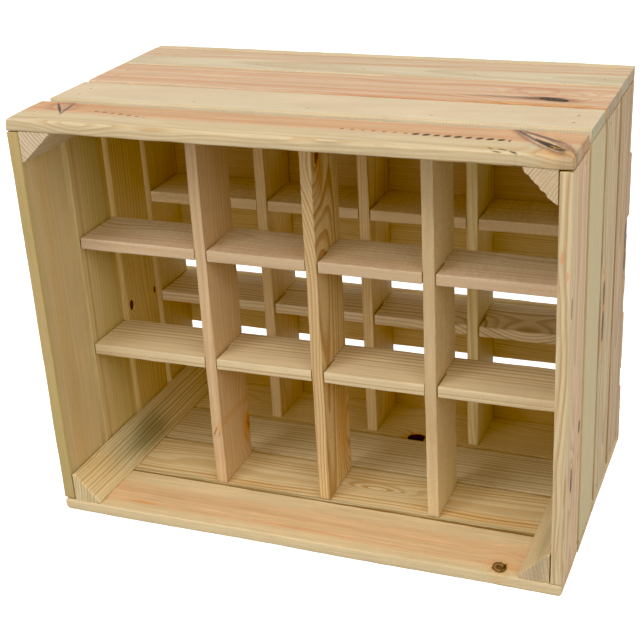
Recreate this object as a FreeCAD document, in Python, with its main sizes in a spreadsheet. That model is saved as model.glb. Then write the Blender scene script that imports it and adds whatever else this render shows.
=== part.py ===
"""A wooden wine rack: a nailed box of thin boards with an open front, a slatted back, triangular
corner strips, and a front and a rear grid of shelves and uprights that slot into each other.

Millimetres. +Z is up, the open front faces -Y, and the origin is the middle of the underside.
"""

import FreeCAD, Part
import os
import Sketcher
from FreeCAD import Placement, Rotation, Vector

RING_BOARDS = 4  # boards across each of the four walls, front to back
BACK_BOARDS = 5
COLUMN_SIDES = (-1, 0, 1)  # the uprights stand left of the middle, on it and right of it
SHELF_LEVELS = {"lower": -1, "upper": 1}  # below and above half height
ENDS = (-1, 1)

SIZES = {
    "rack_width": 500,
    "rack_depth": 288,
    "rack_height": 400,
    "wood_thickness": 11,  # every board, shelf and upright
    "board_width": 63,  # side boards, shelves and uprights
    "top_front_board_width": 61,  # the two front boards of the top
    "top_gap_1": 10,  # between the top's boards, front to back
    "top_gap_2": 6,
    "top_gap_3": 1,
    "bottom_gap": 2,
    "back_board_width": 64,
    "upright_spacing": 111,
    "shelf_spacing": 114,
    "shelf_end_gap": 1,  # at each side wall
    "slot_slack_across": 2,  # room beside an upright in a shelf's slot
    "slot_slack_height": 0.4,  # room over a shelf in an upright's slot
    "slot_slack_depth": 0.5,  # room between the two bottoms of a halved joint
    "rear_grid_gap": 1.5,  # between the rear grid and the back boards
    "strip_leg": 29,
    "strip_tip": 3,  # the flat left on each thin edge of a corner strip
    "strip_end_gap": 1,  # at the front and at the back boards
    "nail_length": 30,
    "nail_diameter": 1.8,
    "nail_head_diameter": 3.0,
    "nail_head_height": 1.2,
    "nail_point_height": 3,
    "nail_sink": 0.4,  # how far a head lies below the wood's surface
    "nail_end_inset": 19,  # from a board's end to its nails
    "nail_pair_across_top": 10.5,  # each nail of a pair from the board's middle line
    "nail_pair_across_side": 17,
    "nail_pair_across_back": 18,
    "upright_nail_offset": 15,  # from an upright's middle towards the front
}

# Each turn takes a piece's own length, width and thickness to their directions in the rack.
LYING = Rotation(Vector(1, 0, 0), Vector(0, 1, 0), Vector(0, 0, 1))
STANDING = Rotation(Vector(0, 0, 1), Vector(0, 1, 0), Vector(-1, 0, 0))
UPRIGHT_BACK = Rotation(Vector(1, 0, 0), Vector(0, 0, 1), Vector(0, -1, 0))

os.makedirs("parts", exist_ok=True)
doc = FreeCAD.newDocument("WineRack")


def make_sheet():
    """The driving dimensions, one named cell each."""
    sheet = doc.addObject("Spreadsheet::Sheet", "Sizes")
    for row, (name, value) in enumerate(SIZES.items(), start=1):
        sheet.set(f"A{row}", name)
        sheet.set(f"B{row}", str(value))
        sheet.setAlias(f"B{row}", name)
    doc.recompute()
    return sheet


sheet = make_sheet()


def bound(name):
    """The number that the sheet holds under this name, as an expression."""
    return f"Sizes.{name}"


def value(expression):
    """What an expression comes to."""
    return float(sheet.evalExpression(expression))


def size(name):
    """The number that the sheet holds under this name."""
    return value(bound(name))


def lay_out(widths, gaps):
    """A wall's boards from the front edge back: where each one starts, and its width."""
    start = "0"
    row = [(start, widths[0])]
    for gap, width in zip(gaps, widths[1:]):
        start = f"({start} + {row[-1][1]} + {gap})"
        row.append((start, width))
    return row


THICKNESS = bound("wood_thickness")
BOARD_WIDTH = bound("board_width")
RING_DEPTH = f"({bound('rack_depth')} - {THICKNESS})"
INNER_WIDTH = f"({bound('rack_width')} - 2 * {THICKNESS})"
INNER_HEIGHT = f"({bound('rack_height')} - 2 * {THICKNESS})"
BACK_PITCH = f"(({bound('rack_height')} - {bound('back_board_width')}) / {BACK_BOARDS - 1})"
FRONT = f"(-{bound('rack_depth')} / 2)"

SIDE_GAP = f"(({RING_DEPTH} - {RING_BOARDS} * {BOARD_WIDTH}) / {RING_BOARDS - 1})"
SIDE_ROW = lay_out([BOARD_WIDTH] * RING_BOARDS, [SIDE_GAP] * (RING_BOARDS - 1))
BOTTOM_GAPS = [bound("bottom_gap")] * (RING_BOARDS - 1)
BOTTOM_WIDTH = f"(({RING_DEPTH} - {' - '.join(BOTTOM_GAPS)}) / {RING_BOARDS})"
TOP_GAPS = [bound("top_gap_1"), bound("top_gap_2"), bound("top_gap_3")]
TOP_FRONT_WIDTH = bound("top_front_board_width")
TOP_REAR_WIDTH = f"(({RING_DEPTH} - {' - '.join(TOP_GAPS)} - 2 * {TOP_FRONT_WIDTH}) / 2)"
WALL_ROWS = {
    "bottom": lay_out([BOTTOM_WIDTH] * RING_BOARDS, BOTTOM_GAPS),
    "top": lay_out([TOP_FRONT_WIDTH] * 2 + [TOP_REAR_WIDTH] * 2, TOP_GAPS),
    "left": SIDE_ROW,
    "right": SIDE_ROW,
}

GRID_FRONTS = {
    "front": f"({FRONT} + {SIDE_ROW[1][0]})",  # in line with the second side board
    "rear": f"({FRONT} + {RING_DEPTH} - {bound('rear_grid_gap')} - {BOARD_WIDTH})",
}


def make_body(name, turn, x, y, z):
    """An empty body whose own corner is put at x, y, z by expressions."""
    body = doc.addObject("PartDesign::Body", name)
    body.Placement = Placement(Vector(0, 0, 0), turn)
    for axis, expression in zip("xyz", (x, y, z)):
        body.setExpression(f"Placement.Base.{axis}", expression)
    return body


def make_sketch(body, name):
    """A sketch on the body's own XY plane."""
    plane = next(f for f in body.Origin.OriginFeatures if f.Role == "XY_Plane")
    sketch = body.newObject("Sketcher::SketchObject", name)
    sketch.AttachmentSupport = (plane, [""])
    sketch.MapMode = "FlatFace"
    return sketch


def constrain(sketch, name, expression, *args):
    """A named dimension of the sketch, bound to an expression."""
    index = sketch.addConstraint(Sketcher.Constraint(*args, 1.0))
    sketch.renameConstraint(index, name)
    sketch.setExpression(f"Constraints.{name}", expression)


def draw_outline(sketch, corners):
    """A closed outline through these corners, in order, as joined straight lines."""
    count = len(corners)
    for index, corner in enumerate(corners):
        start, end = Vector(*corner, 0), Vector(*corners[(index + 1) % count], 0)
        sketch.addGeometry(Part.LineSegment(start, end), False)
    for index in range(count):
        sketch.addConstraint(Sketcher.Constraint("Coincident", index, 2, (index + 1) % count, 1))


def draw_rectangle(sketch, left, bottom, width, height):
    """An upright rectangle. left and bottom are its distances from the sketch's origin."""
    draw_outline(sketch, [(1, 1), (2, 1), (2, 2), (1, 2)])
    for line, kind in enumerate(("Horizontal", "Vertical", "Horizontal", "Vertical")):
        sketch.addConstraint(Sketcher.Constraint(kind, line))
    constrain(sketch, "Width", width, "DistanceX", 0, 1, 0, 2)
    constrain(sketch, "Height", height, "DistanceY", 1, 1, 1, 2)
    constrain(sketch, "Left", left, "DistanceX", -1, 1, 0, 1)
    constrain(sketch, "Bottom", bottom, "DistanceY", -1, 1, 0, 1)


def pad(body, sketch, length):
    """Makes the sketch solid along the body's own +Z."""
    solid = body.newObject("PartDesign::Pad", f"{sketch.Name}_Pad")
    solid.Profile = sketch
    solid.setExpression("Length", length)
    sketch.Visibility = False
    return solid


def make_board(name, turn, place, length, width):
    """A plain board, its length along its own X, its width along Y and its thickness along Z."""
    body = make_body(name, turn, *place)
    outline = make_sketch(body, f"{name}_outline")
    draw_rectangle(outline, "0", "0", length, width)
    pad(body, outline, THICKNESS)
    return body


def cut_slots(body, first, bottom, width, height, spacing, count):
    """A row of equal slots through the board's thickness, spaced along its length."""
    sketch = make_sketch(body, f"{body.Name}_slot")
    draw_rectangle(sketch, first, bottom, width, height)
    slot = body.newObject("PartDesign::Pocket", f"{body.Name}_pocket")
    slot.Profile = sketch
    slot.Type = "ThroughAll"
    slot.Reversed = True
    row = body.newObject("PartDesign::LinearPattern", f"{body.Name}_slots")
    row.Originals = [slot]
    row.Direction = (sketch, ["H_Axis"])
    row.Occurrences = count
    row.setExpression("Length", f"{spacing} * {count - 1}")
    body.Tip = row
    sketch.Visibility = False


def make_floor_and_top():
    """Boards along X over the ends of the side boards, front to back."""
    levels = {"bottom": "0", "top": f"{bound('rack_height')} - {THICKNESS}"}
    boards = []
    for wall, level in levels.items():
        for number, (start, width) in enumerate(WALL_ROWS[wall], start=1):
            place = (f"-{bound('rack_width')} / 2", f"{FRONT} + {start}", level)
            name = f"{wall}_board_{number}"
            boards.append(make_board(name, LYING, place, bound("rack_width"), width))
    return boards


def make_side_walls():
    """Boards standing between the floor and the top, front to back."""
    inner_faces = {"left": f"-{INNER_WIDTH} / 2", "right": f"{bound('rack_width')} / 2"}
    boards = []
    for wall, face in inner_faces.items():
        for number, (start, width) in enumerate(WALL_ROWS[wall], start=1):
            place = (face, f"{FRONT} + {start}", THICKNESS)
            name = f"{wall}_board_{number}"
            boards.append(make_board(name, STANDING, place, INNER_HEIGHT, width))
    return boards


def make_back():
    """Boards along X across the rear edges of the box, bottom to top, with gaps between them."""
    boards = []
    for index in range(BACK_BOARDS):
        place = (f"-{bound('rack_width')} / 2", f"{bound('rack_depth')} / 2", f"{index} * {BACK_PITCH}")
        name = f"back_board_{index + 1}"
        width = bound("back_board_width")
        boards.append(make_board(name, UPRIGHT_BACK, place, bound("rack_width"), width))
    return boards


def make_corner_strips():
    """Triangular strips along Y that fill the four inner corners of the box."""
    leg, tip = bound("strip_leg"), bound("strip_tip")
    corners = {
        "bottom_left": (-1, THICKNESS),
        "bottom_right": (1, THICKNESS),
        "top_right": (1, f"{bound('rack_height')} - {THICKNESS}"),
        "top_left": (-1, f"{bound('rack_height')} - {THICKNESS}"),
    }
    strips = []
    for quarter_turns, (corner, (side, level)) in enumerate(corners.items()):
        name = f"corner_strip_{corner}"
        turn = Rotation(Vector(0, -1, 0), 90 * quarter_turns) * UPRIGHT_BACK
        rear_end = f"{FRONT} + {RING_DEPTH} - {bound('strip_end_gap')}"
        body = make_body(name, turn, f"{side} * {INNER_WIDTH} / 2", rear_end, level)
        outline = make_sketch(body, f"{name}_outline")
        draw_outline(outline, [(0, 0), (4, 0), (4, 1), (1, 4), (0, 4)])
        for line, kind in ((0, "Horizontal"), (1, "Vertical"), (3, "Horizontal"), (4, "Vertical")):
            outline.addConstraint(Sketcher.Constraint(kind, line))
        outline.addConstraint(Sketcher.Constraint("Coincident", 0, 1, -1, 1))
        constrain(outline, "LegAcross", leg, "DistanceX", 0, 1, 0, 2)
        constrain(outline, "LegUp", leg, "DistanceY", 4, 2, 4, 1)
        constrain(outline, "TipAcross", tip, "DistanceY", 1, 1, 1, 2)
        constrain(outline, "TipUp", tip, "DistanceX", 3, 2, 3, 1)
        pad(body, outline, f"{RING_DEPTH} - 2 * {bound('strip_end_gap')}")
        strips.append(body)
    return strips


def make_shelves(grid):
    """Shelves from wall to wall, their front halves slotted to straddle the uprights."""
    end_gap = bound("shelf_end_gap")
    length = f"{INNER_WIDTH} - 2 * {end_gap}"
    middle_upright_face = f"({length} - {THICKNESS}) / 2"
    first_slot = f"{middle_upright_face} - {bound('upright_spacing')}"
    slot_width = f"{THICKNESS} + {bound('slot_slack_across')}"
    slot_depth = f"({BOARD_WIDTH} + {bound('slot_slack_depth')}) / 2"
    shelves = []
    for level_name, level in SHELF_LEVELS.items():
        middle = f"({bound('rack_height')} + {level} * {bound('shelf_spacing')}) / 2"
        place = (f"-{INNER_WIDTH} / 2 + {end_gap}", GRID_FRONTS[grid], f"{middle} - {THICKNESS} / 2")
        shelf = make_board(f"{grid}_shelf_{level_name}", LYING, place, length, BOARD_WIDTH)
        spacing = bound("upright_spacing")
        cut_slots(shelf, first_slot, "0", slot_width, slot_depth, spacing, len(COLUMN_SIDES))
        shelves.append(shelf)
    return shelves


def make_uprights(grid):
    """Uprights from floor to top, their rear halves slotted to take the shelves."""
    slot_height = f"{THICKNESS} + {bound('slot_slack_height')}"
    slot_depth = f"({BOARD_WIDTH} + {bound('slot_slack_depth')}) / 2"
    lower_shelf = f"({INNER_HEIGHT} - {bound('shelf_spacing')} - {THICKNESS}) / 2"
    slot_front = f"{BOARD_WIDTH} - {slot_depth}"
    uprights = []
    for number, side in enumerate(COLUMN_SIDES, start=1):
        place = (f"{side} * {bound('upright_spacing')} + {THICKNESS} / 2", GRID_FRONTS[grid], THICKNESS)
        upright = make_board(f"{grid}_upright_{number}", STANDING, place, INNER_HEIGHT, BOARD_WIDTH)
        spacing = bound("shelf_spacing")
        cut_slots(upright, lower_shelf, slot_front, slot_height, slot_depth, spacing, len(SHELF_LEVELS))
        uprights.append(upright)
    return uprights


def make_nail_form(name, reach):
    """A round nail along its own -Z: point, shank and lost head, with its top at z = reach."""
    shank = size("nail_diameter") / 2
    head = size("nail_head_diameter") / 2
    under_head = -size("nail_head_height")
    point = -size("nail_length")
    shoulder = point + size("nail_point_height")
    outline = [
        Vector(0, 0, point),
        Vector(shank, 0, shoulder),
        Vector(shank, 0, under_head - (head - shank)),
        Vector(head, 0, under_head),
        Vector(head, 0, reach),
        Vector(0, 0, reach),
        Vector(0, 0, point),
    ]
    form = doc.addObject("Part::Feature", name)
    form.Shape = Part.Face(Part.makePolygon(outline)).revolve(Vector(0, 0, 0), Vector(0, 0, 1), 360)
    form.Visibility = False
    return form


def board_middles(wall):
    """The middle line of each board of a wall, along Y."""
    return [value(f"{FRONT} + {start} + {width} / 2") for start, width in WALL_ROWS[wall]]


def grid_middles():
    """The middle of the front and of the rear grid, along Y."""
    return [value(f"{front} + {BOARD_WIDTH} / 2") for front in GRID_FRONTS.values()]


def floor_and_top_nails(wall, outward):
    """Pairs into the corner strips at each board's ends, and one into each upright."""
    level = size("rack_height") if wall == "top" else 0
    across = size("rack_width") / 2 - size("nail_end_inset")
    spread = size("nail_pair_across_top")
    spots = [
        (side * across, middle + step * spread)
        for middle in board_middles(wall)
        for side in ENDS
        for step in ENDS
    ]
    spots += [
        (side * size("upright_spacing"), middle - size("upright_nail_offset"))
        for middle in grid_middles()
        for side in COLUMN_SIDES
    ]
    return [(Vector(x, y, level), Vector(0, 0, outward)) for x, y in spots]


def side_nails(wall, outward):
    """Pairs into the corner strips at each side board's top and bottom."""
    face = outward * size("rack_width") / 2
    spread = size("nail_pair_across_side")
    levels = (size("nail_end_inset"), size("rack_height") - size("nail_end_inset"))
    return [
        (Vector(face, middle + step * spread, level), Vector(outward, 0, 0))
        for middle in board_middles(wall)
        for level in levels
        for step in ENDS
    ]


def back_nails():
    """Pairs into the rear edges of the side boards at each back board's ends."""
    face = size("rack_depth") / 2
    across = (size("rack_width") - size("wood_thickness")) / 2
    spread = size("nail_pair_across_back")
    half_width = size("back_board_width") / 2
    pitch = value(BACK_PITCH)
    return [
        (Vector(side * across, face, half_width + index * pitch + step * spread), Vector(0, 1, 0))
        for index in range(BACK_BOARDS)
        for side in ENDS
        for step in ENDS
    ]


def at_spots(form, spots, depth, name):
    """Copies of a nail form, each with its top depth below its spot on the wood's surface."""
    shapes = []
    for spot, outward in spots:
        shape = form.Shape.copy()
        turn = Rotation(Vector(0, 0, 1), outward)
        shape.Placement = Placement(spot - outward * depth, turn)
        shapes.append(shape)
    group = doc.addObject("Part::Feature", name)
    group.Shape = Part.makeCompound(shapes)
    return group


def drive_nails(bodies):
    """The nail groups, and each wooden piece with the holes that its nails make in it."""
    nail = make_nail_form("nail_form", 0)
    hole = make_nail_form("hole_form", 2 * size("nail_sink"))
    walls = {
        "nails_top": floor_and_top_nails("top", 1),
        "nails_bottom": floor_and_top_nails("bottom", -1),
        "nails_left": side_nails("left", -1),
        "nails_right": side_nails("right", 1),
        "nails_back": back_nails(),
    }
    sink = size("nail_sink")
    groups = [at_spots(nail, spots, sink, name) for name, spots in walls.items()]
    every_spot = [spot for spots in walls.values() for spot in spots]
    pieces = []
    for body in bodies:
        met = [spot for spot in every_spot if meets(spot, body.Shape.BoundBox)]
        pieces.append(drill(body, hole, met, sink) if met else body)
    return pieces, groups


def meets(spot, box):
    """Whether the axis of the nail at this spot runs into the box of a wooden piece."""
    place, outward = spot
    axis = FreeCAD.BoundBox(place, place - outward * size("nail_length"))
    return box.intersect(axis)


def drill(body, hole, spots, sink):
    """The body less the room of the nails at these spots. It takes over the body's label."""
    name = body.Label
    body.Label = f"{name}_undrilled"
    cutter = at_spots(hole, spots, sink, f"{name}_holes")
    cutter.Visibility = False
    drilled = doc.addObject("Part::Cut", f"{name}_drilled")
    drilled.Base = body
    drilled.Tool = cutter
    drilled.Label = name
    return drilled


def export(pieces, groups):
    """Checks every object, then writes one STEP file for each piece."""
    doc.recompute()
    for item in doc.Objects:
        if "Invalid" in item.State or "Error" in item.State:
            raise SystemExit(f"{item.Name} failed: {item.State}")
    for piece in pieces + groups:
        if piece.Shape.isNull() or not piece.Shape.isValid() or piece.Shape.Volume <= 0:
            raise SystemExit(f"{piece.Label} has no sound shape")
    for piece in pieces + groups:
        piece.Shape.exportStep(f"parts/{piece.Label}.step")
        print(f"{piece.Label}: {len(piece.Shape.Solids)} solids, {piece.Shape.Volume:.0f} mm3")


bodies = make_floor_and_top() + make_side_walls() + make_back() + make_corner_strips()
for grid in GRID_FRONTS:
    bodies += make_shelves(grid) + make_uprights(grid)
doc.recompute()
pieces, nail_groups = drive_nails(bodies)
export(pieces, nail_groups)
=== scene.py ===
"""The looks of the wine rack: sawn pine boards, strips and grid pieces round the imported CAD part.

Metres. +Z is up and the open front faces -Y. Each wooden piece has its own u along the grain,
v across its width and w through its thickness, from its lowest corner.
"""

import math
import random

import bpy
import numpy as np
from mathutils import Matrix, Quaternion, Vector


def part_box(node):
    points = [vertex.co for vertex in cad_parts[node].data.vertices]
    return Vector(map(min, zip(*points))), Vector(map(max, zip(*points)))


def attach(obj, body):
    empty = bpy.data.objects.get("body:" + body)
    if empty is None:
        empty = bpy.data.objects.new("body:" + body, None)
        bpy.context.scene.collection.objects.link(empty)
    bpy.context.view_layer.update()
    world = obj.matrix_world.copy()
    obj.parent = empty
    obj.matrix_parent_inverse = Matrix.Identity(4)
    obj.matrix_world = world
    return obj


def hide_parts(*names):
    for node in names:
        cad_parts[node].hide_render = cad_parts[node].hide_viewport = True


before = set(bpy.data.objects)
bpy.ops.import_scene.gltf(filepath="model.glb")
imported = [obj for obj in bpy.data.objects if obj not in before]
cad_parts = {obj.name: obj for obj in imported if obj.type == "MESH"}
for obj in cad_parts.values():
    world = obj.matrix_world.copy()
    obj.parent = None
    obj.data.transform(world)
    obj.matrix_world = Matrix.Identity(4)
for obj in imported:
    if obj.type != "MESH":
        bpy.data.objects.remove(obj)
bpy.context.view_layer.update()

MM = 0.001
AXES = {"x": 0, "y": 1, "z": 2}


# ---------------------------------------------------------------- geometry

EDGE_LINES = (0.3 * MM, 0.8 * MM, 1.6 * MM, 2.8 * MM, 4.5 * MM, 6.5 * MM)
NAIL_LINES = (0.0, 0.9 * MM, 1.6 * MM, 2.2 * MM, 3.0 * MM)
LEAST_GAP = 0.18 * MM  # between two lines of a board's grid
GRID_STEP = 4 * MM
WALL_LEVELS = 4
DIMPLE_DEPTH = 0.6 * MM
DIMPLE_RADIUS = (1.5 * MM, 2.2 * MM)
SLOT_ROUND = 0.5 * MM
LEAST_ROUND = 0.25 * MM
MOST_ROUND = 0.47  # of a board's thickness
WEAR_LENGTH = 60 * MM  # along an edge, of the waves in its rounding
SAW_LENGTH = 180 * MM  # of the waves in a sawn side
SAW_FINE_LENGTH = 22 * MM
END_LENGTH = 9 * MM  # of the waves in a sawn end
BOW_LENGTH = 500 * MM
SLOT_PLAY = 0.25 * MM  # past the middle line, in each of two crossing slots


def ripple(rng, wavelength, height):
    """A smooth random curve: a few sines of about this wavelength, together about this high."""
    waves = [
        (2 * math.pi / (wavelength * rng.uniform(0.6, 1.8)), rng.uniform(0, 2 * math.pi))
        for _ in range(5)
    ]
    return lambda t: height * sum(np.sin(rate * t + phase) for rate, phase in waves) / 2.5


def grid_lines(length, cuts, marks):
    """Where the lines of a board's grid run: close together at edges and slots, and at nails."""
    edges = sorted({0.0, length, *cuts})
    found = set()
    for low, high in zip(edges, edges[1:]):
        half = (high - low) / 2
        offsets = [offset for offset in EDGE_LINES if offset < 0.9 * half]
        found.update(low + offset for offset in offsets)
        found.update(high - offset for offset in offsets)
        inset = offsets[-1] if offsets else 0.0
        count = max(1, round((high - low - 2 * inset) / GRID_STEP))
        found.update(np.linspace(low + inset, high - inset, count + 1).tolist())
    for mark in marks:
        for offset in NAIL_LINES:
            found.update((mark - offset, mark + offset))
    lines = list(edges)
    for line in sorted(found):
        if 0 < line < length and min(abs(line - other) for other in lines) > LEAST_GAP:
            lines.append(line)
    return np.array(sorted(lines))


def edge_share(distance_low, distance_high, radius_low, radius_high):
    """How far into its rounded edges each point is, from 0 inside to 1 at the edge, the radius
    there, and whether that edge is the low one."""
    low = np.clip(1 - distance_low / radius_low, 0, None)
    high = np.clip(1 - distance_high / radius_high, 0, None)
    return np.maximum(low, high), np.where(low > high, radius_low, radius_high), low > high


def board_surface(U, V, length, width, radii, slots):
    """The rounding of one face: where each grid point moves to in plan, and how far it drops."""
    end_low, end_high, side_low, side_high = radii
    hu, ru, at_u_low = edge_share(U, length - U, end_low(V), end_high(V))
    hv, rv, at_v_low = edge_share(V, width - V, side_low(U), side_high(U))
    hs = np.zeros_like(U)
    for u0, u1, v0, v1 in slots:
        off_u = np.maximum(np.maximum(u0 - U, U - u1), 0)
        off_v = np.maximum(np.maximum(v0 - V, V - v1), 0)
        hs = np.maximum(hs, np.clip(1 - np.hypot(off_u, off_v) / SLOT_ROUND, 0, None))
    total = hu**2 + hv**2 + hs**2
    reach = np.sqrt(total)
    radius = (ru * hu**2 + rv * hv**2 + SLOT_ROUND * hs**2) / np.maximum(total, 1e-12)
    drop = radius * (1 - np.sqrt(1 - np.clip(reach, 0, 1) ** 2))
    corner = (hu > 0) & (hv > 0) & (reach > 1)
    squeeze = np.where(corner, 1 - 1 / np.maximum(reach, 1e-9), 0)
    plan_u = U + np.where(at_u_low, 1, -1) * ru * hu * squeeze
    plan_v = V + np.where(at_v_low, 1, -1) * rv * hv * squeeze
    return plan_u, plan_v, drop


def make_mesh(name, points, grain, faces, crease=50):
    """A smooth-shaded mesh object that keeps the undeformed board coordinates as 'grain'."""
    used, faces = np.unique(faces, return_inverse=True)
    faces = faces.reshape(-1, 4)
    mesh = bpy.data.meshes.new(name)
    mesh.from_pydata(points[used].tolist(), [], faces.tolist())
    own = mesh.attributes.new("grain", "FLOAT_VECTOR", "POINT")
    own.data.foreach_set("vector", grain[used].astype(np.float32).ravel())
    mesh.shade_smooth()
    mesh.set_sharp_from_angle(angle=math.radians(crease))
    mesh.validate()
    obj = bpy.data.objects.new(name, mesh)
    bpy.context.scene.collection.objects.link(obj)
    return obj


def nail_dimples(U, V, nails):
    """How deep the hollows round the nails' heads are at each grid point."""
    depth = np.zeros_like(U)
    for u, v in nails:
        away = np.hypot(U - u, V - v)
        slope = np.clip((DIMPLE_RADIUS[1] - away) / (DIMPLE_RADIUS[1] - DIMPLE_RADIUS[0]), 0, 1)
        depth = np.maximum(depth, DIMPLE_DEPTH * slope * slope * (3 - 2 * slope))
    return depth


def skin_faces(us, vs, slots):
    """The faces of a slotted board whose layers of grid points lie from its high face down."""
    index = np.arange(len(us) * len(vs)).reshape(len(us), len(vs))
    mid_u = (us[:-1] + us[1:])[:, None] / 2
    mid_v = (vs[:-1] + vs[1:])[None, :] / 2
    solid = np.ones((len(us) - 1, len(vs) - 1), bool)
    for u0, u1, v0, v1 in slots:
        solid &= ~((mid_u > u0) & (mid_u < u1) & (mid_v > v0) & (mid_v < v1))
    a, b = index[:-1, :-1][solid], index[1:, :-1][solid]
    c, d = index[1:, 1:][solid], index[:-1, 1:][solid]
    last = WALL_LEVELS * index.size
    faces = [np.stack([a, b, c, d], axis=1), np.stack([d, c, b, a], axis=1) + last]
    ring = np.pad(solid, 1)
    walls = (
        (solid & ~ring[1:-1, :-2], index[:-1, :-1], index[1:, :-1]),
        (solid & ~ring[2:, 1:-1], index[1:, :-1], index[1:, 1:]),
        (solid & ~ring[1:-1, 2:], index[1:, 1:], index[:-1, 1:]),
        (solid & ~ring[:-2, 1:-1], index[:-1, 1:], index[:-1, :-1]),
    )
    for open_side, start, end in walls:
        start, end = start[open_side], end[open_side]
        for level in range(WALL_LEVELS):
            upper, lower = level * index.size, (level + 1) * index.size
            corners = (start + lower, end + lower, end + upper, start + upper)
            faces.append(np.stack(corners, axis=1))
    return np.concatenate(faces)


def make_board(node, axes, slots=(), nails=(), nailed_high=True):
    """One sawn board for a CAD node. axes names the world axes of its length, width and thickness,
    slots are (u0, u1, v0, v1), and nails are (u, v) on its high or low face."""
    shape = {**BOARD_SHAPE, **SHAPES.get(node, {})}
    rng = random.Random(node)
    low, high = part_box(node)
    order = [AXES[axis] for axis in axes]
    length, width, depth = (high[axis] - low[axis] for axis in order)
    cuts_u = {place for slot in slots for place in slot[:2]}
    cuts_v = {place for slot in slots for place in slot[2:] if 0 < place < width}
    us = grid_lines(length, cuts_u, [u for u, _ in nails])
    vs = grid_lines(width, cuts_v, [v for _, v in nails])
    U, V = np.meshgrid(us, vs, indexing="ij")

    def worn(base):
        """A rounding radius that changes along its edge."""
        change = ripple(rng, WEAR_LENGTH, shape["wear"])
        return lambda t: np.clip(base * (1 + change(t)), LEAST_ROUND, MOST_ROUND * depth)

    radii = []
    for own in (shape["round_high"], shape["round_low"]):
        radii.append([worn(own.get(edge, shape["round"])) for edge in ("u0", "u1", "v0", "v1")])
    top_u, top_v, top_drop = board_surface(U, V, length, width, radii[0], slots)
    low_u, low_v, low_drop = board_surface(U, V, length, width, radii[1], slots)
    dimple = nail_dimples(U, V, nails)
    high_w = depth - top_drop - (dimple if nailed_high else 0)
    low_w = low_drop + (0 if nailed_high else dimple)

    layers = []
    for level in range(WALL_LEVELS + 1):
        share = level / WALL_LEVELS
        ends = ((top_u, low_u), (top_v, low_v), (high_w, low_w))
        layer = [above + share * (below - above) for above, below in ends]
        layers.append(np.stack([part.ravel() for part in layer], axis=1))
    grain = np.concatenate(layers)
    points = bend_board(grain.copy(), rng, length, width, shape)
    world = np.empty_like(points)
    for part, axis in enumerate(order):
        world[:, axis] = low[axis] + points[:, part]
    faces = skin_faces(us, vs, slots)
    if axes in ("zyx", "xzy"):  # these turns mirror the board, so its faces turn back
        faces = faces[:, ::-1]
    obj = make_mesh(node + "_wood", world, grain, faces)
    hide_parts(node)
    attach(obj, "root")
    return obj


def bend_board(points, rng, length, width, shape):
    """Moves a straight board's points to the slightly crooked board that a rough saw leaves."""
    u, v, w = points.T
    along, across = u / length, v / width
    saw = shape["saw_wander"]
    front, rear = (ripple(rng, SAW_LENGTH, saw) for _ in range(2))
    front_fine, rear_fine = (ripple(rng, SAW_FINE_LENGTH, 0.35 * saw) for _ in range(2))
    side_low = front(u) + front_fine(u) + saw
    side_high = -rear(u) - rear_fine(u) - saw
    end = shape["end_wander"]
    trims = [trim * MM + rng.uniform(0, end) for trim in shape["trim"]]
    skews = [rng.uniform(-end, end) for _ in range(2)]
    rough = [ripple(rng, END_LENGTH, 0.12 * end) for _ in range(2)]
    end_low = trims[0] + skews[0] * (across - 0.5) + rough[0](v)
    end_high = -trims[1] + skews[1] * (across - 0.5) - rough[1](v)
    bow, cup = ripple(rng, BOW_LENGTH, shape["warp"]), rng.uniform(-1, 1) * shape["warp"]
    points[:, 0] = u + end_low * (1 - along) + end_high * along
    points[:, 1] = v + side_low * (1 - across) + side_high * across
    rise = shape["rise"][0] * (1 - along) + shape["rise"][1] * along
    points[:, 2] = w + bow(u) + cup * (4 * (across - 0.5) ** 2 - 0.5) + rise * MM
    return points


BOARD_SHAPE = {
    "round": 0.7 * MM,
    "round_high": {},  # other radii on the high face, by edge: u0, u1, v0, v1
    "round_low": {},
    "wear": 0.35,
    "saw_wander": 0.25 * MM,
    "end_wander": 0.5 * MM,
    "warp": 0.15 * MM,
    "trim": (0, 0),  # mm taken off at each end
    "rise": (0, 0),  # mm that each end stands higher than in the plan
}


# ---------------------------------------------------------------- shader graphs


def hue(red, green, blue):
    """A colour given in screen values, 11 to 255, as the shader's linear colour."""
    levels = [part / 255 for part in (red, green, blue)]
    return (*(((level + 0.055) / 1.055) ** 2.4 for level in levels), 1.0)


MIX_COLOURS, MIX_RESULT = (6, 7), 2  # the Mix node's sockets for colours


class Wire:
    """A number in a shader graph. Arithmetic on it adds Math nodes."""

    def __init__(self, tree, socket):
        self.tree = tree
        self.socket = socket

    def math(self, operation, *others):
        node = self.tree.nodes.new("ShaderNodeMath")
        node.operation = operation
        for slot, value in zip(node.inputs, (self, *others)):
            self.tree.feed(slot, value)
        return Wire(self.tree, node.outputs[0])

    def __add__(self, other):
        return self.math("ADD", other)

    def __sub__(self, other):
        return self.math("SUBTRACT", other)

    def __mul__(self, other):
        return self.math("MULTIPLY", other)

    def __truediv__(self, other):
        return self.math("DIVIDE", other)

    def __neg__(self):
        return self.math("MULTIPLY", -1.0)

    __radd__ = __add__
    __rmul__ = __mul__

    def __rsub__(self, other):
        return -self + other

    def step(self, start, end):
        """0 up to start, 1 from end on, smooth between. Falls instead when end is below start."""
        node = self.tree.nodes.new("ShaderNodeMapRange")
        node.interpolation_type = "SMOOTHSTEP"
        self.tree.feed(node.inputs["Value"], self)
        self.tree.feed(node.inputs["From Min"], start)
        self.tree.feed(node.inputs["From Max"], end)
        return Wire(self.tree, node.outputs["Result"])

    def hill(self):
        """A bell: 1 at 0, falling to nothing by about 2 on both sides."""
        return (self * self * -1.0).math("EXPONENT")


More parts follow.
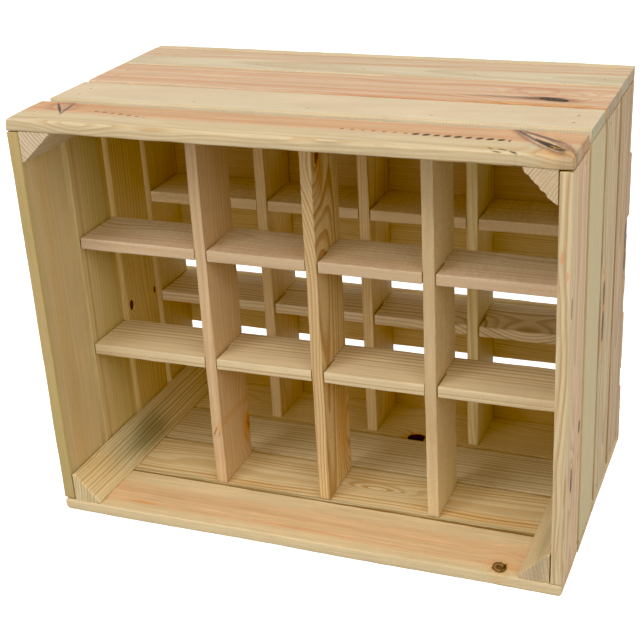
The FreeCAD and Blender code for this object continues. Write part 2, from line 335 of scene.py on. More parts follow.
class Tree:
    """The node graph of one material."""

    def __init__(self, name):
        self.material = bpy.data.materials.new(name)
        self.material.use_nodes = True
        self.nodes = self.material.node_tree.nodes
        self.nodes.clear()

    def feed(self, slot, value):
        """Links a wire to an input, or sets it to a value."""
        if isinstance(value, Wire):
            self.material.node_tree.links.new(value.socket, slot)
        else:
            slot.default_value = value

    def coordinates(self):
        """The piece's own u, v and w."""
        own = self.nodes.new("ShaderNodeAttribute")
        own.attribute_name = "grain"
        return self.split(Wire(self, own.outputs["Vector"]))

    def split(self, vector):
        node = self.nodes.new("ShaderNodeSeparateXYZ")
        self.feed(node.inputs[0], vector)
        return [Wire(self, output) for output in node.outputs]

    def noise(self, place, detail=1.0, rough=0.5):
        """Smooth noise, about -1 to 1, at a place given as three numbers."""
        join = self.nodes.new("ShaderNodeCombineXYZ")
        for slot, value in zip(join.inputs, place):
            self.feed(slot, value)
        node = self.nodes.new("ShaderNodeTexNoise")
        node.inputs["Scale"].default_value = 1.0
        node.inputs["Detail"].default_value = detail
        node.inputs["Roughness"].default_value = rough
        self.feed(node.inputs["Vector"], Wire(self, join.outputs[0]))
        return (Wire(self, node.outputs["Fac"]) - 0.5) * 3.0

    def mix(self, one, other, share, blend="MIX"):
        """A colour part of the way from one to the other."""
        node = self.nodes.new("ShaderNodeMix")
        node.data_type = "RGBA"
        node.blend_type = blend
        self.feed(node.inputs["Factor"], share)
        for slot, colour in zip(MIX_COLOURS, (one, other)):
            self.feed(node.inputs[slot], colour)
        return Wire(self, node.outputs[MIX_RESULT])

    def tint(self, colour, by, share):
        """A colour multiplied by another, as far as the share says."""
        return self.mix(colour, by, share, "MULTIPLY")

    def dim(self, colour, gain):
        """A colour made brighter or darker by a number."""
        node = self.nodes.new("ShaderNodeVectorMath")
        node.operation = "SCALE"
        self.feed(node.inputs[0], colour)
        self.feed(node.inputs["Scale"], gain)
        return Wire(self, node.outputs[0])

    def facing(self, axis):
        """How squarely the surface faces along a world axis, 0 to 1."""
        node = self.nodes.new("ShaderNodeNewGeometry")
        return self.split(Wire(self, node.outputs["Normal"]))[AXES[axis]].math("ABSOLUTE")

    def finish(self, colour, roughness, height, metallic=0.0, specular=0.35):
        """The shader itself, with a bump whose height is in metres."""
        shader = self.nodes.new("ShaderNodeBsdfPrincipled")
        self.feed(shader.inputs["Base Color"], colour)
        self.feed(shader.inputs["Roughness"], roughness)
        shader.inputs["Metallic"].default_value = metallic
        shader.inputs["Specular IOR Level"].default_value = specular
        bump = self.nodes.new("ShaderNodeBump")
        bump.inputs["Strength"].default_value = 1.0
        bump.inputs["Distance"].default_value = 1.0
        self.feed(bump.inputs["Height"], height)
        self.feed(shader.inputs["Normal"], Wire(self, bump.outputs[0]))
        output = self.nodes.new("ShaderNodeOutputMaterial")
        self.feed(output.inputs["Surface"], Wire(self, shader.outputs[0]))
        return self.material


# ---------------------------------------------------------------- wood

CREAM = hue(226, 203, 162)
PALE = hue(227, 209, 174)
TAN = hue(220, 190, 148)
LATE = hue(190, 146, 94)
DARK = hue(36, 25, 22)

# Tints that a band or patch multiplies the wood's colour by.
PINK = hue(255, 243, 241)
ROSE = hue(252, 230, 220)
ORANGE = hue(252, 222, 188)
HONEY = hue(252, 234, 204)
GREEN = hue(240, 246, 226)
# Grey-blue: real stain on some pieces, and painted shade beside a floor board's gap.
STAIN_AND_SHADE = hue(196, 204, 206)
# A grey tint; on the lower front shelf it is painted shade.
GREY_TINT = hue(188, 172, 168)

# How a board's wood is described. Places and sizes are mm from its lowest corner.
WOOD = {
    "early": CREAM,  # the wood between the dark lines of the rings
    "late": LATE,  # the dark lines
    "contrast": 0.45,
    "fade": (),  # (from v, to v, share left): where across the board the rings get fainter
    "pith": (30, -60),  # the middle of the tree, across and through
    "slope": (0.02, 0.05),  # how fast that drifts along the board
    "pitch": 3.2,  # from ring to ring
    "wander": 3.0,  # of the rings
    "sharp": (0.30, 0.86),  # the part of a ring over which it darkens
    "swells": (),  # (u, v, half length, half width, push): where the rings bulge
    "bands": (),  # (v, half width, tint, strength)
    "patches": (),  # (u, v, half length, half width, tint, strength)
    "knots": (),  # see KNOT
    "dashes": (),  # see add_dashes
    "strokes": (),  # ((u, v), (u, v), width, colour, strength): cracks and dark marks
    "edge_strokes": (),  # the same in u and w
    "saw": 1.0,  # how strong the saw marks are
    "saw_pitch": 2.3,
    "end": (0.80, 0.74, 0.68, 1),  # tint of the end grain
    "fibre": 0.10,  # how much each noise changes the brightness
    "streak": 0.10,
    "mottle": 0.07,
    "gain": 1.0,  # brightness
}
KNOT = {
    "turn": 0,  # degrees
    "taper": 0,
    "push": 6,  # of the rings round it
    "halo": ORANGE,
    "halo_strength": 0.55,
    "reach": 2.4,  # of the halo, in knots
    "rings": 16.0,
    "heart": hue(150, 92, 52),
    "heart_dark": hue(96, 52, 28),
    "heart_strength": 1.0,
    "rim": DARK,
    "rim_strength": 0.9,
}
FIBRE_HEIGHT = 0.05 * MM
LATE_HEIGHT = 0.05 * MM
SAW_HEIGHT = 0.03 * MM
RIM_DEPTH = 0.25 * MM
SAW_COLOUR = 0.014
SAW_SLANT = 300.0  # radians to a metre across the board
BAND_WANDER = 1.8 * MM


def wood(node, grain_axis, look):
    """Sawn softwood for one board: rings cut by its faces, bands, knots, fibres, saw marks. The
    scales of its noises are waves to a metre along the grain, and then across it."""
    look = {**WOOD, **look}
    tree = Tree(f"pine_{node}")
    seed = random.Random(node + "_wood").uniform(0, 50)
    u, v, w = tree.coordinates()
    across, deep, radius, knots = ring_radius(tree, look, seed, u, v, w)
    ring = radius / (look["pitch"] * MM)
    ring = ring + tree.noise((ring * 0.31, seed, 0.0), detail=1) * 0.8
    part = ring.math("FRACT")
    late = part.step(*look["sharp"]) * part.step(1.0, 0.94)
    bold = tree.noise((ring.math("FLOOR") * 3.7, seed, 4.0), detail=0) * 0.45 + 0.8
    fibre = tree.noise((u * 30.0, across * 1500.0, deep * 1500.0), detail=3, rough=0.6)
    streak = tree.noise((u * 6.0 + seed, across * 420.0, deep * 420.0), detail=2)
    mottle = tree.noise((u * 9.0, v * 24.0 + seed, w * 24.0), detail=3)

    share = late * bold * (streak * 0.3 + 1.0) * look["contrast"]
    if look["fade"]:
        start, end, left = look["fade"]
        share = share * (v.step(end * MM, start * MM) * (1 - left) + left)
    colour = tree.mix(look["early"], look["late"], share.math("MINIMUM", 1.0))
    edge = tree.noise((u * 6.0, v * 40.0, seed), detail=3) * BAND_WANDER
    for place, half, tone, strength in look["bands"]:
        off = ((v - place * MM + edge * min(1.0, half / 4)) / (half * MM)).math("ABSOLUTE")
        colour = tree.tint(colour, tone, off.step(1.2, 0.8) * strength)
    for place_u, place_v, half_u, half_v, tone, strength in look["patches"]:
        spread = oval(u, v, (place_u, place_v), (half_u, half_v)) + streak * 0.22 + mottle * 0.12
        colour = tree.tint(colour, tone, spread.step(1.3, 0.25) * strength)
    phase = u * (2 * math.pi / (look["saw_pitch"] * MM)) + v * SAW_SLANT + mottle * 5.0
    ridge = phase.math("SINE")
    marks = ridge * (mottle * 1.5 + 1.0) * (look["saw"] * SAW_COLOUR)
    noises = fibre * look["fibre"] + streak * look["streak"] + mottle * look["mottle"]
    colour = tree.dim(colour, noises + marks + look["gain"])

    end = tree.facing(grain_axis).step(0.55, 0.8)
    colour = tree.tint(colour, look["end"], end)
    height = fibre * FIBRE_HEIGHT + late * LATE_HEIGHT
    for knot, shape in knots:
        colour, height = add_knot(tree, colour, height, knot, shape, seed, u, v)
    for dash in look["dashes"]:
        colour = add_dashes(tree, colour, dash, u, v)
    for stroke in look["strokes"]:
        colour = add_stroke(tree, colour, stroke, u, v, w)
    for stroke in look["edge_strokes"]:
        colour = add_stroke(tree, colour, stroke, u, w, v)
    height = height + ridge * (1.0 - end) * (look["saw"] * SAW_HEIGHT)
    roughness = (mottle * 0.05 - late * 0.06 + 0.66).math("MINIMUM", 0.95)
    return tree.finish(colour, roughness, height)


def ring_radius(tree, look, seed, u, v, w):
    """How far a point is from the middle of the tree: its two parts, and the distance as swells
    and knots bend it. With it comes each knot and its oval."""
    wander = tree.noise((u * 5.0 + seed, v * 12.0, w * 12.0), detail=2) * (look["wander"] * MM)
    rise = tree.noise((u * 4.0 - seed, v * 10.0, w * 10.0), detail=2) * (look["wander"] * MM)
    across = v - look["pith"][0] * MM - u * look["slope"][0] + wander
    deep = w - look["pith"][1] * MM - u * look["slope"][1] + rise
    radius = (across * across + deep * deep).math("SQRT")
    for place_u, place_v, half_u, half_v, push in look["swells"]:
        hill = oval(u, v, (place_u, place_v), (half_u, half_v)).hill()
        radius = radius + hill * (push * MM)
    knots = []
    for knot in look["knots"]:
        knot = {**KNOT, **knot}
        shape = oval(u, v, knot["at"], knot["size"], knot["turn"], knot["taper"])
        knots.append((knot, shape))
        radius = radius + (shape * 0.42).hill() * (knot["push"] * MM)
    return across, deep, radius, knots


def oval(u, v, place, size, turn=0, taper=0):
    """How far out of an oval a point of the board is: 0 at its middle, 1 on its rim. A tapered one
    is narrower at its low end. place and size are in mm, turn in degrees."""
    du, dv = u - place[0] * MM, v - place[1] * MM
    cos, sin = math.cos(math.radians(turn)), math.sin(math.radians(turn))
    if turn:
        du, dv = du * cos + dv * sin, dv * cos - du * sin
    along, across = du / (size[0] * MM), dv / (size[1] * MM)
    if taper:
        across = across / (along * (taper / 2) + (1 - taper / 2)).math("MAXIMUM", 0.12)
    return (along * along + across * across).math("SQRT")


def add_knot(tree, colour, height, knot, shape, seed, u, v):
    """A knot over the wood's colour: halo, dark rim and ringed heart."""
    ragged = shape + tree.noise((u * 180.0, v * 180.0, seed), detail=3) * 0.2
    halo = ragged.step(knot["reach"], 0.9) * knot["halo_strength"]
    colour = tree.tint(colour, knot["halo"], halo)
    rings = (ragged * knot["rings"]).math("SINE") * 0.5 + 0.5
    heart = tree.mix(knot["heart"], knot["heart_dark"], rings)
    colour = tree.mix(colour, heart, ragged.step(1.02, 0.9) * knot["heart_strength"])
    rim = ragged.step(0.66, 0.86) * ragged.step(1.18, 0.98)
    colour = tree.mix(colour, knot["rim"], rim * knot["rim_strength"])
    return colour, height - rim * RIM_DEPTH


def add_dashes(tree, colour, dash, u, v):
    """A row of short slanted dark marks along the grain, from one u to another."""
    (start, end), line, pitch, size = dash["u"], dash["v"], dash["pitch"], dash["size"]
    along = (u - start * MM) / (pitch * MM)
    local_u = (along.math("FRACT") - 0.5) * (pitch * MM)
    local_v = v - line * MM - (u - start * MM) * dash["drift"]
    lean = (local_u - local_v * dash["lean"]) / (size[0] * MM)
    rise = local_v / (size[1] * MM)
    uneven = tree.noise((along.math("FLOOR") * 5.3, 1.0, 2.0), detail=0) * 0.2
    shape = (lean * lean + rise * rise).math("SQRT") + uneven
    inside = u.step((start - 1) * MM, start * MM) * u.step((end + 1) * MM, end * MM)
    return tree.mix(colour, DARK, shape.step(1.15, 0.7) * inside * dash["strength"])


def add_stroke(tree, colour, stroke, u, v, w):
    """A mark from one place to another, right through the board, with a ragged outline."""
    (u0, v0), (u1, v1), width, tone, strength = stroke
    run, turn = math.hypot(u1 - u0, v1 - v0), math.degrees(math.atan2(v1 - v0, u1 - u0))
    middle = ((u0 + u1) / 2, (v0 + v1) / 2)
    shape = oval(u, v, middle, (run / 2 + width / 2, width / 2), turn)
    shape = shape + tree.noise((u * 420.0, v * 420.0, w * 120.0), detail=2) * 0.3
    return tree.mix(colour, tone, shape.step(1.25, 0.6) * strength)


# Each board's own figure. Places are mm from its lowest corner: u along the grain, v across.
LOOKS = {}
LOOKS["top_board_1"] = dict(
    gain=0.86, early=CREAM, late=hue(196, 150, 92), contrast=0.62, fade=(3, 26, 0.35),
    pith=(24, -62), slope=(0.01, 0.016), pitch=3.2, wander=3.2,
    bands=((46, 19, PINK, 1.0), (44, 12, ROSE, 0.7), (38, 3, ROSE, 0.5), (56, 2.5, ROSE, 0.6)),
    swells=((70, -4, 34, 12, 9), (150, -6, 40, 10, 7), (235, -2, 50, 8, 3)),
    patches=(
        (482, 8, 16, 9, ORANGE, 0.9), (440, 10, 30, 6, HONEY, 0.6), (40, 52, 60, 10, ROSE, 0.5),
    ),
    knots=(
        dict(
            at=(33, 46), size=(12, 9), heart=CREAM, heart_dark=TAN, heart_strength=0.25,
            rim_strength=0.0, halo=hue(226, 206, 206), halo_strength=0.7, reach=1.9, push=4,
        ),
        dict(
            at=(469, 33), size=(36, 10), turn=-44, taper=0.5, heart=hue(222, 186, 146),
            heart_dark=hue(196, 156, 118), rings=9, rim=hue(104, 84, 88), rim_strength=0.35,
            halo=hue(206, 182, 180), halo_strength=0.85, reach=1.7, push=9,
        ),
    ),
    strokes=(
        ((42, 25), (21, 56), 2.6, hue(60, 54, 58), 0.85),
        ((42, 25), (37, 60), 2.2, hue(72, 64, 66), 0.8),
        ((40, 30), (33, 66), 3.4, hue(120, 104, 100), 0.4),
        ((21, 57), (37, 60), 1.6, hue(104, 92, 90), 0.6),
        ((20, 54), (12, 42), 1.4, hue(110, 92, 84), 0.5),
        ((441, 62), (469, 28), 4.0, hue(96, 78, 84), 0.8),
        ((447, 60), (491, 29), 3.4, hue(108, 88, 90), 0.8),
        ((468, 32), (490, 13), 8.0, DARK, 0.95),
        ((462, 40), (476, 24), 3.4, hue(58, 48, 48), 0.85),
        ((477, 24), (487, 17), 1.8, hue(206, 150, 60), 0.8),
        ((488, 30), (497, 14), 4.6, hue(160, 112, 84), 0.75),
        ((492, 12), (499, 4), 6.0, hue(226, 180, 116), 0.6),
        ((432, 9), (436, 6), 2.0, hue(70, 56, 44), 0.8),
        ((440, 8), (447, 5), 2.2, hue(70, 56, 44), 0.8),
        ((450, 3), (455, 1), 2.2, hue(60, 48, 40), 0.85),
        ((436, 2), (444, 1), 1.4, hue(90, 70, 50), 0.7),
    ),
    dashes=(
        dict(
            u=(362, 444), v=32, drift=-0.02, pitch=8.8, size=(3.1, 3.2), lean=0.3,
            strength=0.85,
        ),
        dict(
            u=(298, 362), v=34, drift=-0.03, pitch=9.2, size=(1.8, 1.5), lean=0.3, strength=0.6,
        ),
        dict(
            u=(66, 122), v=40, drift=-0.17, pitch=8.8, size=(2.4, 1.6), lean=0.3, strength=0.6,
        ),
    ),
)
LOOKS["top_board_2"] = dict(
    gain=0.92, early=PALE, contrast=0.12, pith=(30, -90), pitch=5.0, wander=2.0, fibre=0.06,
    streak=0.04, saw=1.6, saw_pitch=2.8, end=(0.66, 0.74, 0.7, 1),
    bands=((2, 1.6, HONEY, 0.7), (40, 30, PINK, 0.5)),
)
LOOKS["top_board_3"] = dict(
    gain=0.89, early=hue(230, 208, 172), contrast=0.42, pith=(-34, -30), pitch=5.2, wander=4.5,
    late=hue(206, 150, 116), sharp=(0.3, 0.7),
    bands=(
        (34, 40, PINK, 1.0), (14, 5, ROSE, 0.8), (30, 4, ROSE, 0.5), (50, 5, ROSE, 0.6),
        (67, 3, HONEY, 0.8),
    ),
    swells=(
        (452, 17, 56, 26, 20), (436, 34, 40, 7, 15), (330, 44, 70, 10, 8), (120, 30, 60, 8, 6),
    ),
    patches=(
        (415, 18, 46, 4, STAIN_AND_SHADE, 1.0), (446, 17, 34, 8, hue(196, 188, 186), 0.9),
        (440, 1, 80, 4, ORANGE, 0.9), (300, 1, 90, 4, ROSE, 0.9),
    ),
    knots=(
        dict(
            at=(451, 16.5), size=(13, 4.6), turn=-14, heart=hue(92, 80, 78),
            heart_dark=hue(30, 22, 22), heart_strength=0.9, reach=2.8, halo=hue(214, 186, 178),
            push=7,
        ),
        dict(
            at=(431, 42), size=(20, 12), turn=-6, heart_strength=0.0, halo_strength=0.0,
            rim=hue(196, 128, 96), rim_strength=0.4, push=2,
        ),
    ),
    strokes=(((425, 15), (440, 21), 2.4, hue(96, 84, 82), 0.55),), end=(0.62, 0.7, 0.7, 1),
)
LOOKS["top_board_4"] = dict(
    gain=0.89, early=PALE, contrast=0.3, pith=(20, -50), pitch=4.4, end=(0.7, 0.72, 0.7, 1),
    bands=((56, 20, PINK, 1.0), (40, 4, ROSE, 0.5), (62, 3, ROSE, 0.4)),
)
LOOKS["bottom_board_1"] = dict(
    early=hue(234, 208, 162), contrast=0.15, saw=1.5, pith=(50, -60), pitch=3.6,
    slope=(0.0, 0.01), streak=0.1, fibre=0.2,
    bands=(
        (30, 20, PINK, 0.7), (30, 16, ROSE, 0.3), (33, 2.0, ROSE, 0.35), (16, 1.6, ROSE, 0.4),
    ),
    patches=(
        (78, 17, 18, 2, ORANGE, 0.9), (470, 12, 30, 8, ORANGE, 0.3),
        (250, 18, 60, 2, ROSE, 0.8),
    ),
    knots=(
        dict(
            at=(441, 11.5), size=(6.4, 7.6), turn=20, heart=hue(172, 132, 86),
            heart_dark=hue(92, 64, 44), rings=7, rim=hue(72, 50, 34), rim_strength=0.65,
            halo=ORANGE, reach=2.2, push=8,
        ),
    ),
    strokes=(
        ((444, 8), (446, 17), 3.4, hue(56, 40, 30), 0.8),
        ((437, 16), (441, 20), 1.8, hue(90, 64, 44), 0.7),
        ((449, 13), (466, 11), 2.0, hue(214, 160, 104), 0.6),
    ),
)
LOOKS["bottom_board_2"] = dict(
    early=hue(236, 212, 164), late=hue(200, 150, 84), contrast=0.66, saw=1.6, pith=(-34, -26),
    slope=(0.02, 0.01), pitch=6.2, wander=5.0, sharp=(0.35, 0.8),
    swells=(
        (295, 33, 46, 9, 19), (95, 40, 50, 14, -7), (60, 24, 30, 10, 6), (180, 22, 60, 12, 6),
        (420, 20, 60, 14, 6),
    ),
    # Painted shade: a dark line and a grey strip along the front edge, where the gap to the board
    # in front is shaded.
    bands=((0, 0.5, hue(176, 160, 136), 0.9), (2.2, 1.2, STAIN_AND_SHADE, 0.7)),
    patches=((400, 14, 80, 10, ORANGE, 0.5), (170, 8, 60, 8, ORANGE, 0.4)),
)
LOOKS["bottom_board_3"] = dict(
    early=hue(240, 222, 180), late=hue(178, 140, 96), contrast=0.58, pith=(-90, 4),
    slope=(0.012, 0.0), pitch=5.0, wander=1.8, sharp=(0.15, 0.75), saw=3.4, streak=0.14,
    # Painted shade: a dark line along the front edge, at the shaded gap to the board in front.
    bands=((0, 0.5, hue(206, 190, 164), 0.8),),
)
LOOKS["bottom_board_4"] = dict(
    early=hue(240, 216, 166), late=hue(206, 164, 112), contrast=0.5, pith=(-30, -22), pitch=6.0,
    # Painted shade: the band at v 0 is a dark line at the shaded gap to the board in front.
    wander=6.0, bands=((0, 0.5, hue(212, 194, 166), 0.6),),
    swells=((110, 30, 40, 14, 13), (400, 40, 60, 14, 13), (255, 44, 50, 14, 10)),
    knots=(
        dict(
            at=(300, 3), size=(9, 6), turn=12, heart=hue(52, 34, 36),
            heart_dark=hue(84, 52, 40), halo=ORANGE, halo_strength=0.9, reach=2.6, push=12,
        ),
    ),
)
LOOKS["left_board_1"] = dict(
    early=hue(222, 198, 150), contrast=0.16, pith=(-70, 2), pitch=4.4, wander=1.6, streak=0.07,
    bands=((0, 0.9, hue(232, 224, 206), 1.0), (26, 9, HONEY, 0.3), (3, 3, GREEN, 0.6)),
)
LOOKS["left_board_2"] = dict(
    early=hue(218, 194, 142), contrast=0.3, pith=(-40, 4), pitch=5.2, wander=2.0,
    bands=((9, 1.6, GREY_TINT, 0.4), (40, 16, GREEN, 0.5), (57, 4, HONEY, 0.5)),
)
LOOKS["left_board_3"] = dict(
    early=hue(226, 198, 138), late=hue(184, 138, 80), contrast=0.5, pith=(-30, -26), pitch=4.2,
    wander=5.0, swells=((180, 30, 60, 14, 9), (60, 30, 60, 14, 9)),
    knots=(
        dict(at=(147, 8), size=(5, 3.2), push=8, reach=1.8, heart=hue(84, 54, 34)),
        dict(at=(144, 58), size=(3.6, 2), push=5),
    ),
)
LOOKS["left_board_4"] = dict(
    early=hue(232, 204, 150), contrast=0.5, pith=(-30, 6), pitch=4.8, wander=2.4,
)
LOOKS["right_board_1"] = dict(
    early=hue(220, 196, 154), late=hue(166, 116, 72), contrast=0.52, pith=(26, -22), pitch=3.4,
    slope=(0.01, 0.02), wander=5.5, streak=0.18,
    bands=((40, 22, PINK, 0.9), (52, 3, ROSE, 0.6), (30, 3, ROSE, 0.5), (14, 5, HONEY, 0.4)),
    knots=(
        dict(
            at=(93, 24), size=(12, 3.6), push=7, reach=2.6, heart=hue(90, 58, 48),
            heart_dark=DARK,
        ),
        dict(at=(130, 54), size=(6, 3.2), push=5, heart=hue(110, 74, 60)),
        dict(at=(262, 7), size=(9, 1.6), push=5, heart=hue(120, 90, 60)),
    ),
    edge_strokes=(
        ((302, 3), (312, 4), 2.4, hue(236, 150, 106), 0.75),
        ((288, 8), (296, 8.5), 2.0, hue(240, 150, 120), 0.7),
        ((318, 6), (324, 5), 1.6, hue(236, 170, 120), 0.5),
        ((80, 10), (110, 10.5), 1.4, hue(190, 130, 80), 0.6),
        ((20, 4), (60, 6), 1.6, hue(190, 140, 90), 0.5),
        ((150, 3), (240, 5), 1.2, hue(196, 146, 96), 0.5),
    ),
)
LOOKS["right_board_2"] = dict(
    early=hue(214, 190, 150), contrast=0.14, pith=(-70, 0), pitch=6.0, wander=1.5,
    bands=((32, 40, GREEN, 0.6),), streak=0.05,
)
LOOKS["right_board_3"] = dict(
    gain=0.96, early=hue(210, 188, 142), late=hue(158, 112, 72), contrast=0.55, pith=(40, -40),
    pitch=3.8, wander=4.0, streak=0.2, bands=((30, 40, PINK, 0.3), (46, 6, ROSE, 0.4)),
    patches=((196, 16, 66, 9, ORANGE, 0.7),),
    knots=(
        dict(at=(213, 13), size=(11, 3.6), heart=hue(84, 56, 44), push=9, reach=3.0),
        dict(at=(180, 12), size=(15, 4.4), heart=hue(72, 48, 38), push=9, reach=2.6),
    ),
    strokes=(
        ((300, 40), (330, 41), 1.6, hue(110, 80, 54), 0.7),
        ((320, 52), (350, 52), 1.2, hue(150, 110, 76), 0.6),
    ),
)
LOOKS["right_board_4"] = dict(
    gain=0.94, early=hue(204, 176, 138), late=hue(146, 106, 70), contrast=0.6, pith=(20, -40),
    pitch=3.6, wander=4.0, streak=0.2, bands=((30, 30, HONEY, 0.5), (50, 5, GREY_TINT, 0.3)),
    knots=(
        dict(at=(226, 54), size=(13, 5), heart=hue(84, 62, 52), push=8),
        dict(at=(200, 54), size=(10, 4), heart=hue(84, 62, 52), push=8),
    ),
)
LOOKS["front_upright_1"] = dict(
    gain=1.0, early=hue(222, 194, 152), late=hue(190, 142, 90), contrast=0.34, pith=(-30, -30),
    pitch=5.4, wander=4.0, bands=((30, 40, PINK, 0.6),),
    swells=((40, 44, 40, 16, 16), (250, 20, 90, 12, 6)),
    patches=((36, 54, 22, 10, ORANGE, 1.0), (40, 60, 14, 5, hue(236, 190, 130), 0.9)),
    strokes=(((34, 62), (42, 55), 2.0, hue(150, 100, 52), 0.6),),
    edge_strokes=(
        ((54, 2), (64, 6), 1.5, hue(120, 84, 52), 0.75),
        ((52, 6), (60, 9.5), 1.2, hue(140, 98, 62), 0.7),
        ((58, 7), (70, 10), 5.0, hue(214, 168, 118), 0.8),
    ),
)
LOOKS["front_upright_2"] = dict(
    edge_strokes=(((-5, 5.5), (385, 5.5), 14.0, hue(190, 140, 92), 0.3),),
    early=hue(230, 202, 150), late=hue(172, 116, 66), contrast=0.64, pith=(10, -44),
    slope=(0.01, 0.02), pitch=3.3, wander=5.0, sharp=(0.35, 0.8),
    swells=((350, 6, 70, 34, 26), (50, 52, 60, 16, 18)),
    patches=(
        (365, 16, 24, 9, ORANGE, 1.0), (330, 20, 30, 10, hue(226, 190, 150), 0.8),
        (60, 44, 60, 16, ORANGE, 0.7),
    ),
    knots=(
        dict(
            at=(352, 16), size=(12, 4.6), turn=20, heart=hue(130, 78, 44),
            heart_dark=hue(96, 52, 30), rim=hue(110, 66, 38), rim_strength=0.6, push=8,
        ),
    ),
)
LOOKS["front_upright_3"] = dict(
    edge_strokes=(((-5, 5.5), (385, 5.5), 14.0, hue(190, 146, 96), 0.3),),
    early=hue(240, 220, 178), contrast=0.2, pith=(-60, 5), pitch=3.6, wander=1.4,
    bands=((0, 1.0, hue(240, 232, 224), 1.0),),
)
LOOKS["front_shelf_lower"] = dict(
    edge_strokes=(((-5, 3.5), (485, 4.5), 1.6, hue(176, 132, 84), 0.5),),
    early=hue(232, 208, 166), late=hue(172, 124, 74), contrast=0.62, saw=1.2, pith=(-26, -10),
    pitch=6.4, slope=(0.006, 0.0), wander=2.6, sharp=(0.35, 0.8), fade=(44, 8, 0.25),
    # Painted shade: a grey band darkens the rear part of the shelf.
    bands=((56, 9, GREY_TINT, 0.2),),
)
LOOKS["front_shelf_upper"] = dict(
    edge_strokes=(((-5, 5.5), (485, 5.5), 14.0, hue(190, 152, 100), 0.35),),
    early=hue(232, 212, 180), late=hue(188, 140, 84), contrast=0.62, saw=1.3, pith=(-34, -20),
    pitch=5.0, wander=3.0, bands=((10, 14, PINK, 0.8),), fade=(26, 4, 0.25),
    swells=((190, 38, 66, 12, 15), (20, 36, 40, 12, 9), (440, 44, 70, 12, 8)),
)
LOOKS["rear_shelf_lower"] = dict(
    early=hue(244, 224, 188), late=hue(170, 122, 74), contrast=0.55, pith=(-20, -24), pitch=3.8,
    wander=4.0, swells=((404, -6, 62, 36, 30), (150, 30, 60, 14, 8)),
)
LOOKS["rear_shelf_upper"] = dict(
    edge_strokes=(((-5, 5.5), (485, 5.5), 14.0, hue(190, 152, 100), 0.35),), gain=1.16,
    early=hue(240, 220, 184), contrast=0.4, pith=(-40, -20), pitch=4.4, wander=4.0,
    fade=(24, 4, 0.4),
)
LOOKS["rear_upright_1"] = dict(early=hue(238, 211, 166))
LOOKS["rear_upright_2"] = dict(early=hue(246, 218, 170))
LOOKS["rear_upright_3"] = dict(early=hue(252, 233, 180))
LOOKS["back_board_1"] = dict(
    gain=0.94, early=hue(218, 180, 120), pith=(-60, 4), pitch=2.6, wander=2.6, contrast=0.42,
)
LOOKS["back_board_2"] = dict(
    early=hue(236, 206, 150), pith=(-60, 4), pitch=2.6, wander=2.6, contrast=0.42,
)
LOOKS["back_board_3"] = dict(
    early=hue(234, 206, 150), pith=(-60, 4), pitch=2.6, wander=2.6, contrast=0.42,
)
LOOKS["back_board_4"] = dict(
    gain=0.94, early=hue(222, 184, 140), pith=(-60, 4), pitch=2.6, wander=2.6, contrast=0.42,
)
LOOKS["corner_strip_bottom_left"] = dict(
    early=hue(242, 220, 170), late=hue(168, 124, 76), contrast=0.45, pith=(-140, 20), pitch=2.6,
    slope=(0.0, 0.0), wander=2.0, sharp=(0.3, 0.8),
    patches=(
        (110, 14, 70, 18, STAIN_AND_SHADE, 0.7), (124, 20, 44, 12, hue(190, 190, 184), 0.8),
        (30, 12, 40, 16, HONEY, 0.5),
    ),
    end=(0.9, 0.9, 0.92, 1), saw=3.0,
)
LOOKS["corner_strip_bottom_right"] = dict(
    early=hue(228, 204, 160), contrast=0.4, pith=(-120, 40), pitch=3.4,
    end=(0.82, 0.8, 0.84, 1), saw=3.0, patches=((40, 10, 60, 8, STAIN_AND_SHADE, 0.5),),
)
LOOKS["corner_strip_top_left"] = dict(
    early=hue(232, 216, 184), contrast=0.7, late=hue(170, 128, 92), pith=(64, -36), pitch=3.2,
    end=(0.98, 0.92, 0.88, 1),
)
LOOKS["corner_strip_top_right"] = dict(
    early=CREAM, contrast=0.55, late=hue(180, 140, 112), pith=(-50, 50), pitch=2.6,
    end=(0.92, 0.88, 0.88, 1),
)

SHAPES = {}
SHAPES["top_board_1"] = dict(
    trim=(-3.0, 0), round_high=dict(v0=3.2 * MM, u1=3.0 * MM, u0=1.6 * MM),
    round_low=dict(v0=1.4 * MM), wear=0.4,
)
SHAPES["bottom_board_1"] = dict(
    round_high=dict(u0=2.6 * MM), round_low=dict(u0=5.2 * MM, u1=3.0 * MM),
)
SHAPES["left_board_1"] = dict(trim=(1.0, 0.3), rise=(0, -2.4))
SHAPES["left_board_2"] = dict(rise=(0, -2.2))
SHAPES["left_board_3"] = dict(rise=(0, -1.8))
SHAPES["left_board_4"] = dict(rise=(0, -1.4))
SHAPES["top_board_2"] = dict(trim=(-0.8, 0))
SHAPES["right_board_1"] = dict(trim=(0.2, 1.2), round=1.0 * MM)
SHAPES["front_shelf_lower"] = dict(trim=(-0.8, 0), rise=(1.2, 4.0))
SHAPES["front_shelf_upper"] = dict(trim=(-1.4, 0))
SHAPES["rear_shelf_lower"] = dict(trim=(-0.5, 0))
SHAPES["rear_shelf_upper"] = dict(trim=(-0.9, 0))
SHAPES["back_board_2"] = dict(trim=(0.6, 0.4))
SHAPES["back_board_3"] = dict(trim=(0, 0.8))
SHAPES["back_board_4"] = dict(trim=(0.8, 0))
SHAPES["back_board_5"] = dict(trim=(0, 0.9))


# ---------------------------------------------------------------- the pieces


# For each wall its axes, its nails, whether they are on the high face, and its number of boards.
WALLS = {
    "top": ("xyz", "nails_top", True, 4),
    "bottom": ("xyz", "nails_bottom", False, 4),
    "left": ("zyx", "nails_left", False, 4),
    "right": ("zyx", "nails_right", True, 4),
    "back": ("xzy", "nails_back", True, 5),
}
TOP_POINT = 0.2 * MM  # how near its group's face a point of a nail's top is
NAIL_REACH = 5 * MM
SHELF_SLOT_SLACK = 2 * MM
UPRIGHT_SLOT_SLACK = 0.4 * MM


